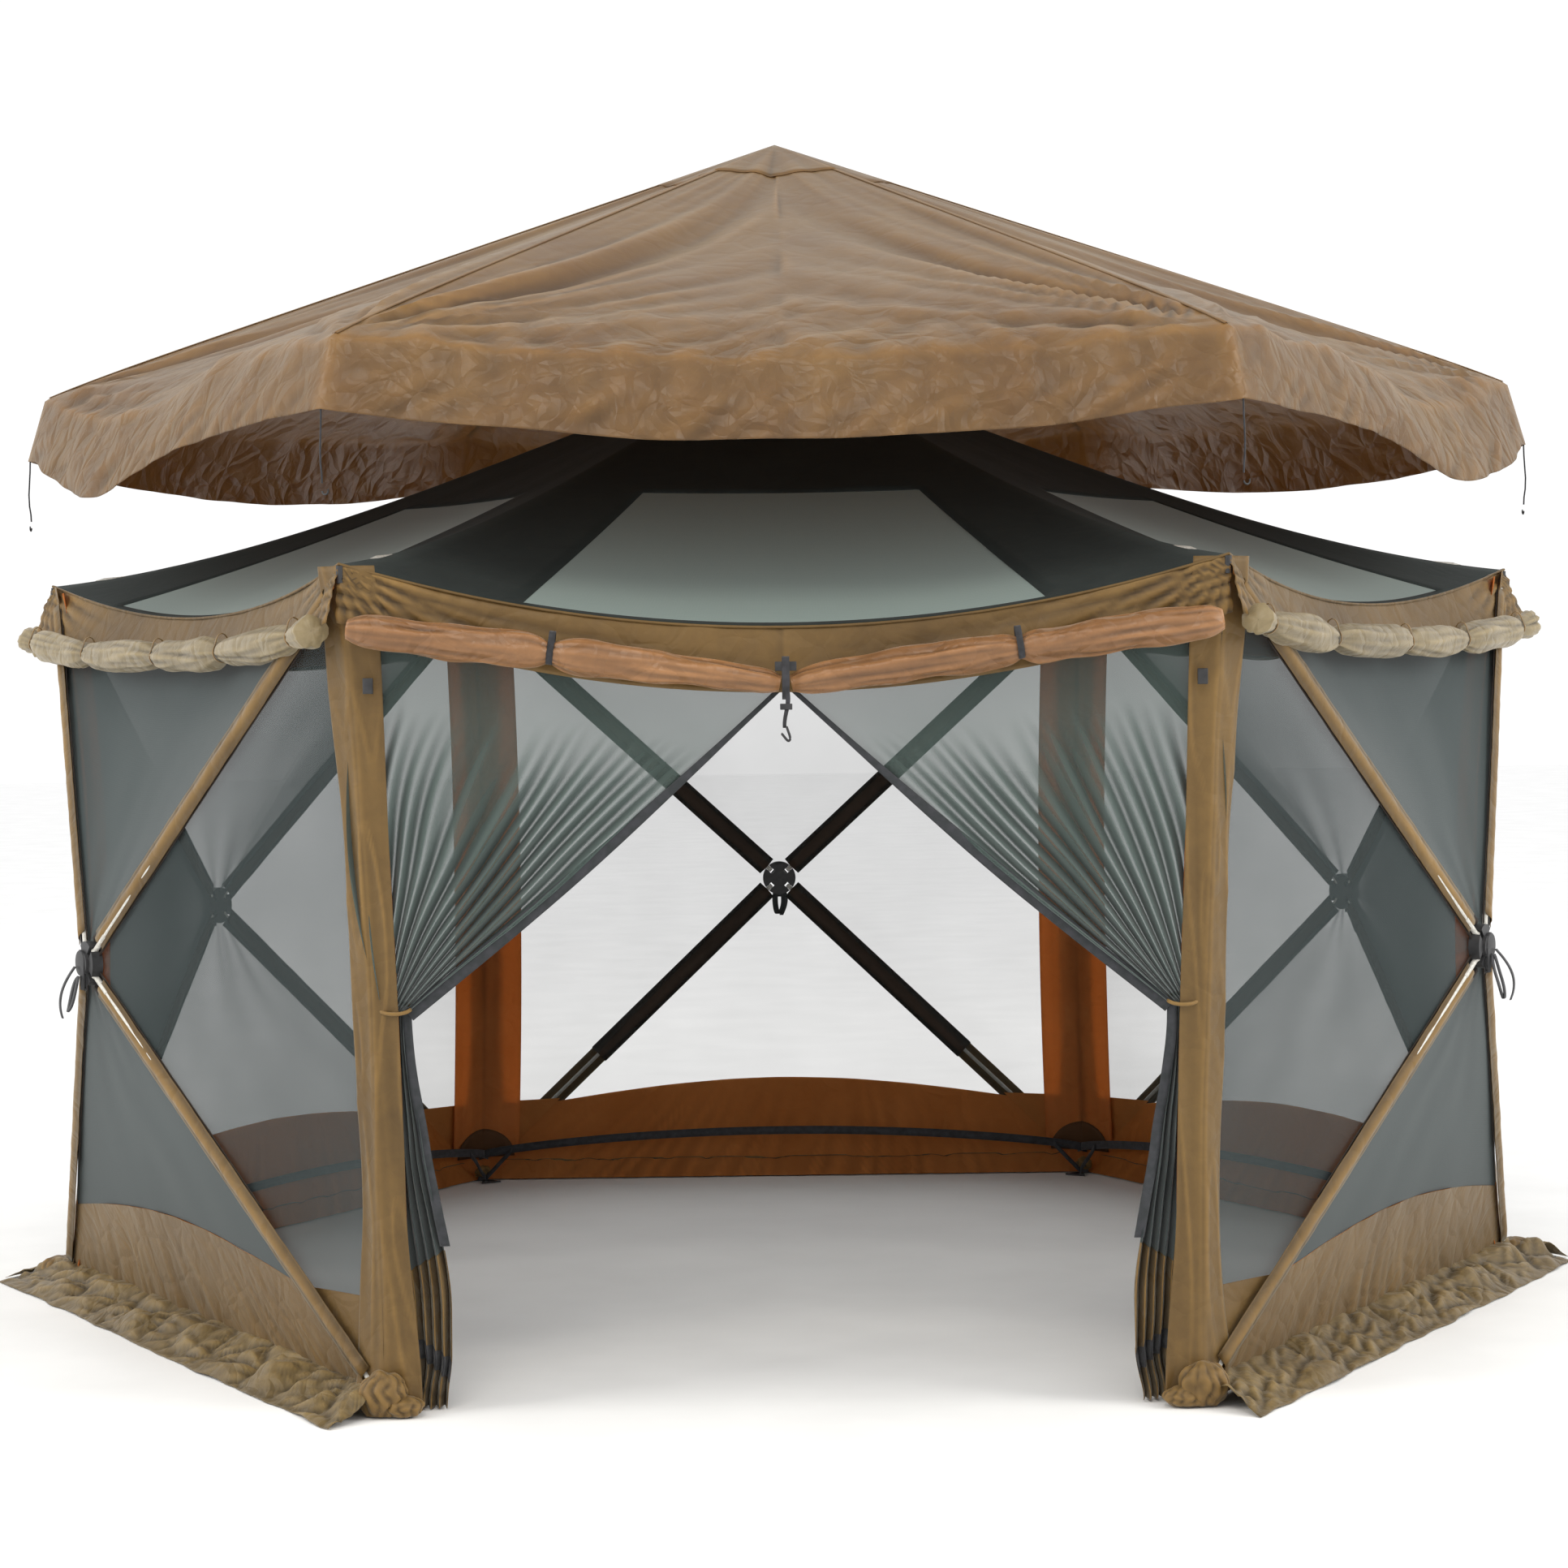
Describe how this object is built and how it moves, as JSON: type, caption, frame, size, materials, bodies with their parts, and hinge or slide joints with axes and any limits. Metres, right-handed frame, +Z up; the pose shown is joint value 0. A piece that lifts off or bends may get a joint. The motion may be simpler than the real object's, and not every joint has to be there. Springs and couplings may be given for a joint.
{
  "type": "pop-up hub screen shelter",
  "caption": "Pop-up screen shelter on a hexagon plan, with sprung hub walls and roof, a tied-back mesh door and a separate rain fly lifted above it.",
  "frame": {"origin": "middle of the footprint on the ground", "axes": "+Z up, the door faces -Y, +X to the right of someone who faces the door from outside"},
  "size_m": [4.1198, 3.7322, 2.961],
  "materials": {
    "black_plastic": "matte moulded plastic",
    "black_webbing": "woven webbing",
    "steel_ring": "satin black",
    "slate_cloth": "closely woven polyester",
    "screen_mesh": "see-through screen mesh",
    "tan_cloth": "coated polyester, low sheen",
    "copper_cloth": "coated polyester seen from its shiny side",
    "fly_cloth": "coated polyester, soft sheen",
    "fibreglass": "pale fibreglass rod with a metal ferrule"
  },
  "bodies": {
    "shelter": {"corner_feet": "black_plastic", "stake_rings": "steel_ring", "top_brackets": "black_plastic", "roof_fabric": "slate_cloth", "roof_windows": "screen_mesh", "eave_band": "tan_cloth", "wall_mesh": "screen_mesh", "lower_bands": "tan_cloth", "ground_skirt": "tan_cloth", "corner_strips": "tan_cloth", "sleeve_strips": "tan_cloth", "ground_strap": "black_webbing", "side_rolls": "tan_cloth", "door_roll": "copper_cloth", "roll_ties": "black_webbing", "band_buckles": "black_plastic", "door_curtains": "screen_mesh", "curtain_ties": "black_webbing"},
    "fly": {"rainfly": "fly_cloth", "fly_cap": "fly_cloth", "fly_hooks": "black_plastic", "fly_cord_front_left": "black_webbing", "fly_cord_front_right": "black_webbing", "fly_cord_right": "black_webbing", "fly_cord_back_right": "black_webbing", "fly_cord_back_left": "black_webbing", "fly_cord_left": "black_webbing"},
    "door_tail": {"door_tail": "black_webbing"},
    "roof_hub": {"roof_hub": "black_plastic"},
    "roof_pole_front_left": {"roof_pole_front_left": "fibreglass"},
    "roof_pole_front_right": {"roof_pole_front_right": "fibreglass"},
    "roof_pole_right": {"roof_pole_right": "fibreglass"},
    "roof_pole_back_right": {"roof_pole_back_right": "fibreglass"},
    "roof_pole_back_left": {"roof_pole_back_left": "fibreglass"},
    "roof_pole_left": {"roof_pole_left": "fibreglass"},
    "hub_right_front": {"hub_right_front": "black_plastic"},
    "pole_right_front_bottom_left": {"pole_right_front_bottom_left": "fibreglass"},
    "pole_right_front_bottom_right": {"pole_right_front_bottom_right": "fibreglass"},
    "pole_right_front_top_right": {"pole_right_front_top_right": "fibreglass"},
    "pole_right_front_top_left": {"pole_right_front_top_left": "fibreglass"},
    "hub_right_back": {"hub_right_back": "black_plastic"},
    "pole_right_back_bottom_left": {"pole_right_back_bottom_left": "fibreglass"},
    "pole_right_back_bottom_right": {"pole_right_back_bottom_right": "fibreglass"},
    "pole_right_back_top_right": {"pole_right_back_top_right": "fibreglass"},
    "pole_right_back_top_left": {"pole_right_back_top_left": "fibreglass"},
    "hub_back": {"hub_back": "black_plastic"},
    "pole_back_bottom_left": {"pole_back_bottom_left": "fibreglass"},
    "pole_back_bottom_right": {"pole_back_bottom_right": "fibreglass"},
    "pole_back_top_right": {"pole_back_top_right": "fibreglass"},
    "pole_back_top_left": {"pole_back_top_left": "fibreglass"},
    "hub_left_back": {"hub_left_back": "black_plastic"},
    "pole_left_back_bottom_left": {"pole_left_back_bottom_left": "fibreglass"},
    "pole_left_back_bottom_right": {"pole_left_back_bottom_right": "fibreglass"},
    "pole_left_back_top_right": {"pole_left_back_top_right": "fibreglass"},
    "pole_left_back_top_left": {"pole_left_back_top_left": "fibreglass"},
    "hub_left_front": {"hub_left_front": "black_plastic"},
    "pole_left_front_bottom_left": {"pole_left_front_bottom_left": "fibreglass"},
    "pole_left_front_bottom_right": {"pole_left_front_bottom_right": "fibreglass"},
    "pole_left_front_top_right": {"pole_left_front_top_right": "fibreglass"},
    "pole_left_front_top_left": {"pole_left_front_top_left": "fibreglass"}
  },
  "joints": [
    {"name": "rainfly_lift", "type": "slide", "parent": "shelter", "child": "fly", "axis": [0, 0, 1], "range_m": [-0.435, 0]},
    {"name": "door_tail_swing", "type": "hinge", "parent": "shelter", "child": "door_tail", "pos_m": [0, -1.79295, 1.556], "axis": [-1, 0, 0], "range_deg": [-4, 75]},
    {"name": "roof_hub_pop", "type": "slide", "parent": "shelter", "child": "roof_hub", "axis": [0, 0, 1], "range_m": [-1.132, 0]},
    {"name": "roof_pole_front_left_turn", "type": "hinge", "parent": "roof_hub", "child": "roof_pole_front_left", "pos_m": [-0.02, -0.09814, 2.378], "axis": [-0.866, 0.5, 0], "range_deg": [-0.5, 34.85]},
    {"name": "roof_pole_front_right_turn", "type": "hinge", "parent": "roof_hub", "child": "roof_pole_front_right", "pos_m": [0.02, -0.09814, 2.378], "axis": [-0.866, -0.5, 0], "range_deg": [-0.5, 34.85]},
    {"name": "roof_pole_right_turn", "type": "hinge", "parent": "roof_hub", "child": "roof_pole_right", "pos_m": [0.04, -0.0635, 2.378], "axis": [0, -1, 0], "range_deg": [-0.5, 34.85]},
    {"name": "roof_pole_back_right_turn", "type": "hinge", "parent": "roof_hub", "child": "roof_pole_back_right", "pos_m": [0.02, -0.02886, 2.378], "axis": [0.866, -0.5, 0], "range_deg": [-0.5, 34.85]},
    {"name": "roof_pole_back_left_turn", "type": "hinge", "parent": "roof_hub", "child": "roof_pole_back_left", "pos_m": [-0.02, -0.02886, 2.378], "axis": [0.866, 0.5, 0], "range_deg": [-0.5, 34.85]},
    {"name": "roof_pole_left_turn", "type": "hinge", "parent": "roof_hub", "child": "roof_pole_left", "pos_m": [-0.04, -0.0635, 2.378], "axis": [0, 1, 0], "range_deg": [-0.5, 34.85]},
    {"name": "hub_right_front_pop", "type": "slide", "parent": "shelter", "child": "hub_right_front", "axis": [0.866, -0.5, 0], "range_m": [-0.508, 0]},
    {"name": "pole_right_front_bottom_left_turn", "type": "hinge", "parent": "hub_right_front", "child": "pole_right_front_bottom_left", "pos_m": [1.62159, -1.05373, 0.89439], "axis": [-0.3326, -0.5761, 0.7466], "range_deg": [-0.5, 23.1]},
    {"name": "pole_right_front_bottom_right_turn", "type": "hinge", "parent": "hub_right_front", "child": "pole_right_front_bottom_right", "pos_m": [1.65122, -1.00239, 0.89389], "axis": [-0.3388, -0.5869, -0.7354], "range_deg": [-0.5, 23.54]},
    {"name": "pole_right_front_top_right_turn", "type": "hinge", "parent": "hub_right_front", "child": "pole_right_front_top_right", "pos_m": [1.65122, -1.00239, 0.94811], "axis": [0.3388, 0.5869, -0.7354], "range_deg": [-0.5, 23.54]},
    {"name": "pole_right_front_top_left_turn", "type": "hinge", "parent": "hub_right_front", "child": "pole_right_front_top_left", "pos_m": [1.62205, -1.05293, 0.94861], "axis": [0.3452, 0.5979, 0.7235], "range_deg": [-0.5, 23.96]},
    {"name": "hub_right_back_pop", "type": "slide", "parent": "shelter", "child": "hub_right_back", "axis": [0.866, 0.5, 0], "range_m": [-0.508, 0]},
    {"name": "pole_right_back_bottom_left_turn", "type": "hinge", "parent": "hub_right_back", "child": "pole_right_back_bottom_left", "pos_m": [1.65956, 0.86096, 0.89364], "axis": [0.342, -0.5924, 0.7294], "range_deg": [-0.5, 23.75]},
    {"name": "pole_right_back_bottom_right_turn", "type": "hinge", "parent": "hub_right_back", "child": "pole_right_back_bottom_right", "pos_m": [1.63038, 0.91149, 0.89364], "axis": [0.342, -0.5924, -0.7294], "range_deg": [-0.5, 23.75]},
    {"name": "pole_right_back_top_right_turn", "type": "hinge", "parent": "hub_right_back", "child": "pole_right_back_top_right", "pos_m": [1.63038, 0.91149, 0.94836], "axis": [-0.342, 0.5924, -0.7294], "range_deg": [-0.5, 23.75]},
    {"name": "pole_right_back_top_left_turn", "type": "hinge", "parent": "hub_right_back", "child": "pole_right_back_top_left", "pos_m": [1.65956, 0.86096, 0.94836], "axis": [-0.342, 0.5924, 0.7294], "range_deg": [-0.5, 23.75]},
    {"name": "hub_back_pop", "type": "slide", "parent": "shelter", "child": "hub_back", "axis": [0, 1, 0], "range_m": [-0.508, 0]},
    {"name": "pole_back_bottom_left_turn", "type": "hinge", "parent": "hub_back", "child": "pole_back_bottom_left", "pos_m": [0.02918, 1.83595, 0.89364], "axis": [0.6841, 0, 0.7294], "range_deg": [-0.5, 23.75]},
    {"name": "pole_back_bottom_right_turn", "type": "hinge", "parent": "hub_back", "child": "pole_back_bottom_right", "pos_m": [-0.02918, 1.83595, 0.89364], "axis": [0.6841, 0, -0.7294], "range_deg": [-0.5, 23.75]},
    {"name": "pole_back_top_right_turn", "type": "hinge", "parent": "hub_back", "child": "pole_back_top_right", "pos_m": [-0.02918, 1.83595, 0.94836], "axis": [-0.6841, 0, -0.7294], "range_deg": [-0.5, 23.75]},
    {"name": "pole_back_top_left_turn", "type": "hinge", "parent": "hub_back", "child": "pole_back_top_left", "pos_m": [0.02918, 1.83595, 0.94836], "axis": [-0.6841, 0, 0.7294], "range_deg": [-0.5, 23.75]},
    {"name": "hub_left_back_pop", "type": "slide", "parent": "shelter", "child": "hub_left_back", "axis": [-0.866, 0.5, 0], "range_m": [-0.508, 0]},
    {"name": "pole_left_back_bottom_left_turn", "type": "hinge", "parent": "hub_left_back", "child": "pole_left_back_bottom_left", "pos_m": [-1.63038, 0.91149, 0.89364], "axis": [0.342, 0.5924, 0.7294], "range_deg": [-0.5, 23.75]},
    {"name": "pole_left_back_bottom_right_turn", "type": "hinge", "parent": "hub_left_back", "child": "pole_left_back_bottom_right", "pos_m": [-1.65956, 0.86096, 0.89364], "axis": [0.342, 0.5924, -0.7294], "range_deg": [-0.5, 23.75]},
    {"name": "pole_left_back_top_right_turn", "type": "hinge", "parent": "hub_left_back", "child": "pole_left_back_top_right", "pos_m": [-1.65956, 0.86096, 0.94836], "axis": [-0.342, -0.5924, -0.7294], "range_deg": [-0.5, 23.75]},
    {"name": "pole_left_back_top_left_turn", "type": "hinge", "parent": "hub_left_back", "child": "pole_left_back_top_left", "pos_m": [-1.63038, 0.91149, 0.94836], "axis": [-0.342, -0.5924, 0.7294], "range_deg": [-0.5, 23.75]},
    {"name": "hub_left_front_pop", "type": "slide", "parent": "shelter", "child": "hub_left_front", "axis": [-0.866, -0.5, 0], "range_m": [-0.508, 0]},
    {"name": "pole_left_front_bottom_left_turn", "type": "hinge", "parent": "hub_left_front", "child": "pole_left_front_bottom_left", "pos_m": [-1.65122, -1.00239, 0.89389], "axis": [-0.3388, 0.5869, 0.7354], "range_deg": [-0.5, 23.54]},
    {"name": "pole_left_front_bottom_right_turn", "type": "hinge", "parent": "hub_left_front", "child": "pole_left_front_bottom_right", "pos_m": [-1.62159, -1.05373, 0.89439], "axis": [-0.3326, 0.5761, -0.7466], "range_deg": [-0.5, 23.1]},
    {"name": "pole_left_front_top_right_turn", "type": "hinge", "parent": "hub_left_front", "child": "pole_left_front_top_right", "pos_m": [-1.62205, -1.05293, 0.94861], "axis": [0.3452, -0.5979, -0.7235], "range_deg": [-0.5, 23.96]},
    {"name": "pole_left_front_top_left_turn", "type": "hinge", "parent": "hub_left_front", "child": "pole_left_front_top_left", "pos_m": [-1.65122, -1.00239, 0.94811], "axis": [0.3388, -0.5869, 0.7354], "range_deg": [-0.5, 23.54]}
  ],
  "couplings": [
    {"joint": "roof_pole_front_left_turn", "follows": "roof_hub_pop", "rad_per_m": -0.5219},
    {"joint": "roof_pole_front_right_turn", "follows": "roof_hub_pop", "rad_per_m": -0.5219},
    {"joint": "roof_pole_right_turn", "follows": "roof_hub_pop", "rad_per_m": -0.5219},
    {"joint": "roof_pole_back_right_turn", "follows": "roof_hub_pop", "rad_per_m": -0.5219},
    {"joint": "roof_pole_back_left_turn", "follows": "roof_hub_pop", "rad_per_m": -0.5219},
    {"joint": "roof_pole_left_turn", "follows": "roof_hub_pop", "rad_per_m": -0.5219},
    {"joint": "pole_right_front_bottom_left_turn", "follows": "hub_right_front_pop", "rad_per_m": -0.75931},
    {"joint": "pole_right_front_bottom_right_turn", "follows": "hub_right_front_pop", "rad_per_m": -0.77428},
    {"joint": "pole_right_front_top_right_turn", "follows": "hub_right_front_pop", "rad_per_m": -0.77428},
    {"joint": "pole_right_front_top_left_turn", "follows": "hub_right_front_pop", "rad_per_m": -0.78885},
    {"joint": "pole_right_back_bottom_left_turn", "follows": "hub_right_back_pop", "rad_per_m": -0.78167},
    {"joint": "pole_right_back_bottom_right_turn", "follows": "hub_right_back_pop", "rad_per_m": -0.78167},
    {"joint": "pole_right_back_top_right_turn", "follows": "hub_right_back_pop", "rad_per_m": -0.78167},
    {"joint": "pole_right_back_top_left_turn", "follows": "hub_right_back_pop", "rad_per_m": -0.78167},
    {"joint": "pole_back_bottom_left_turn", "follows": "hub_back_pop", "rad_per_m": -0.78167},
    {"joint": "pole_back_bottom_right_turn", "follows": "hub_back_pop", "rad_per_m": -0.78167},
    {"joint": "pole_back_top_right_turn", "follows": "hub_back_pop", "rad_per_m": -0.78167},
    {"joint": "pole_back_top_left_turn", "follows": "hub_back_pop", "rad_per_m": -0.78167},
    {"joint": "pole_left_back_bottom_left_turn", "follows": "hub_left_back_pop", "rad_per_m": -0.78167},
    {"joint": "pole_left_back_bottom_right_turn", "follows": "hub_left_back_pop", "rad_per_m": -0.78167},
    {"joint": "pole_left_back_top_right_turn", "follows": "hub_left_back_pop", "rad_per_m": -0.78167},
    {"joint": "pole_left_back_top_left_turn", "follows": "hub_left_back_pop", "rad_per_m": -0.78167},
    {"joint": "pole_left_front_bottom_left_turn", "follows": "hub_left_front_pop", "rad_per_m": -0.77428},
    {"joint": "pole_left_front_bottom_right_turn", "follows": "hub_left_front_pop", "rad_per_m": -0.75931},
    {"joint": "pole_left_front_top_right_turn", "follows": "hub_left_front_pop", "rad_per_m": -0.78885},
    {"joint": "pole_left_front_top_left_turn", "follows": "hub_left_front_pop", "rad_per_m": -0.77428}
  ]
}
